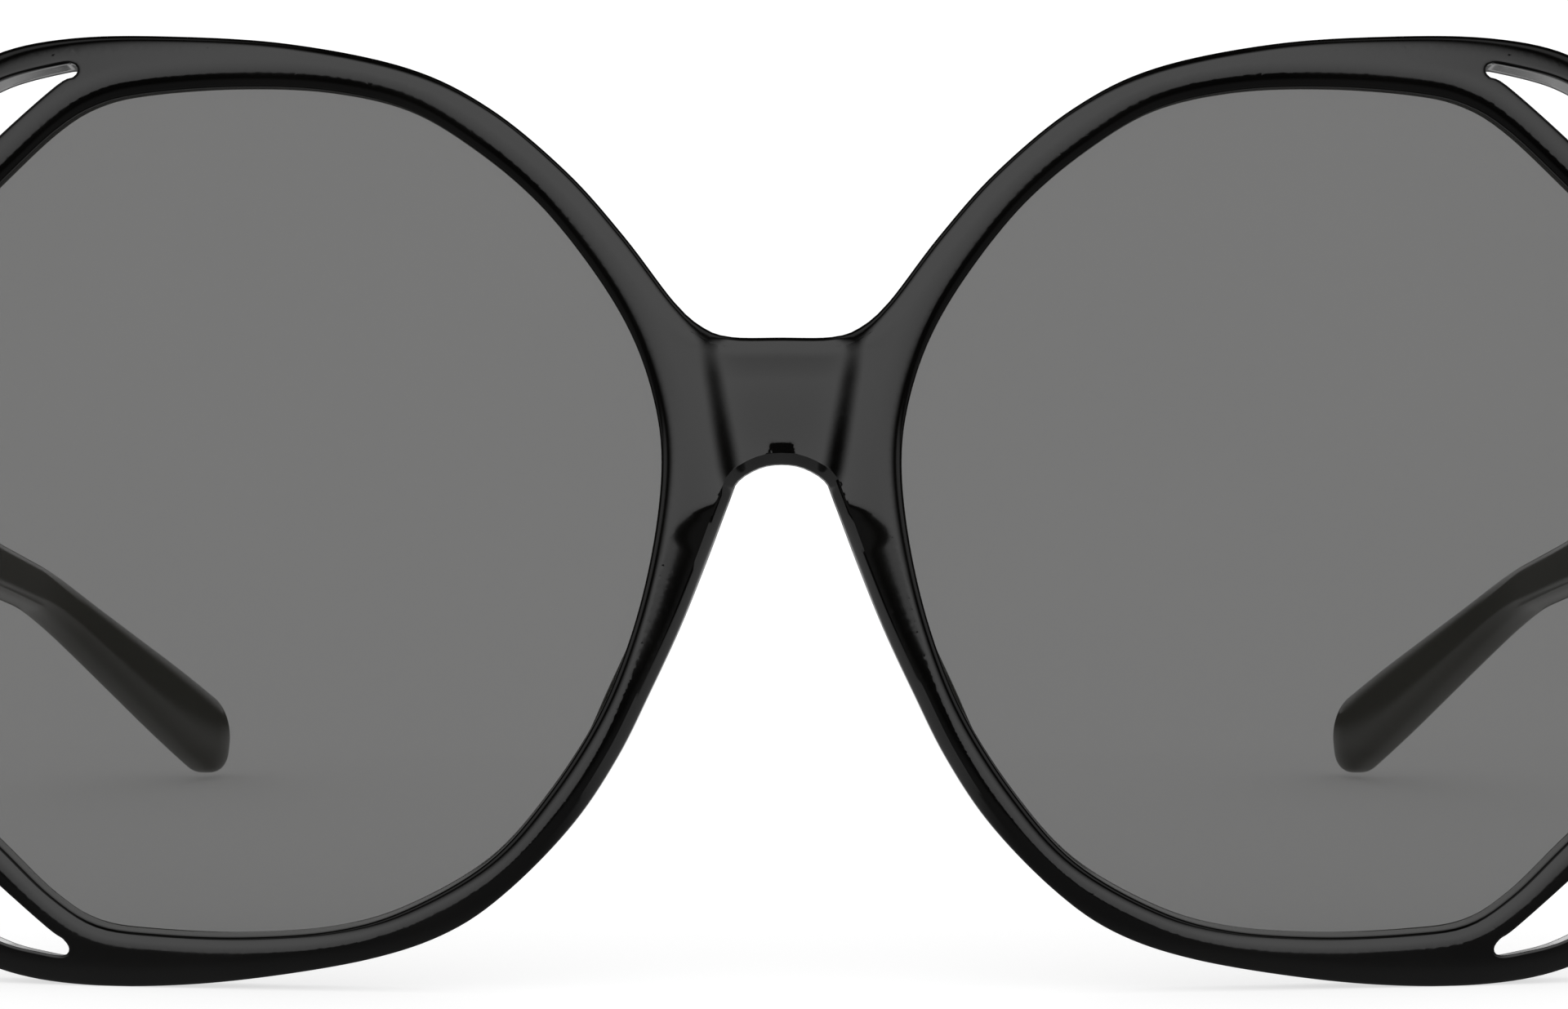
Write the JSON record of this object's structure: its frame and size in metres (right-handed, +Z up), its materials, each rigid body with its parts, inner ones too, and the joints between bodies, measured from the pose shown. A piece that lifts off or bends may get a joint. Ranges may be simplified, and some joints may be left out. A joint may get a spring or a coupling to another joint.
{
  "type": "sunglasses",
  "caption": "Oversize sunglasses with octagonal tinted lenses in round black rims, crescent openings at the outer corners and folding temples.",
  "frame": {"origin": "middle of the box's base, on the surface that the sunglasses stand on with open temples", "axes": "+Z up, -Y the way the lenses face, temples run back along +Y, +X the wearer's left"},
  "size_m": [0.1428, 0.1495, 0.0681],
  "materials": {
    "black_acetate": "polished",
    "grey_lens": "clear tint",
    "hinge_steel": "satin"
  },
  "bodies": {
    "front": {"front_frame": "black_acetate", "lens_left": "grey_lens", "lens_right": "grey_lens", "nose_pad_left": "black_acetate", "nose_pad_right": "black_acetate", "front_hinge_left": "hinge_steel", "front_hinge_right": "hinge_steel", "hinge_screw_left": "hinge_steel", "hinge_screw_right": "hinge_steel"},
    "left_temple": {"temple_left": "black_acetate", "temple_core_left": "hinge_steel", "temple_hinge_left": "hinge_steel"},
    "right_temple": {"temple_right": "black_acetate", "temple_core_right": "hinge_steel", "temple_hinge_right": "hinge_steel"}
  },
  "joints": [
    {"name": "left_fold", "type": "hinge", "parent": "front", "child": "left_temple", "pos_m": [0.066, -0.05636, 0.03488], "axis": [0, 0.1292, 0.9916], "range_deg": [0, 81]},
    {"name": "right_fold", "type": "hinge", "parent": "front", "child": "right_temple", "pos_m": [-0.066, -0.05636, 0.03488], "axis": [0, -0.1292, -0.9916], "range_deg": [0, 68]}
  ]
}
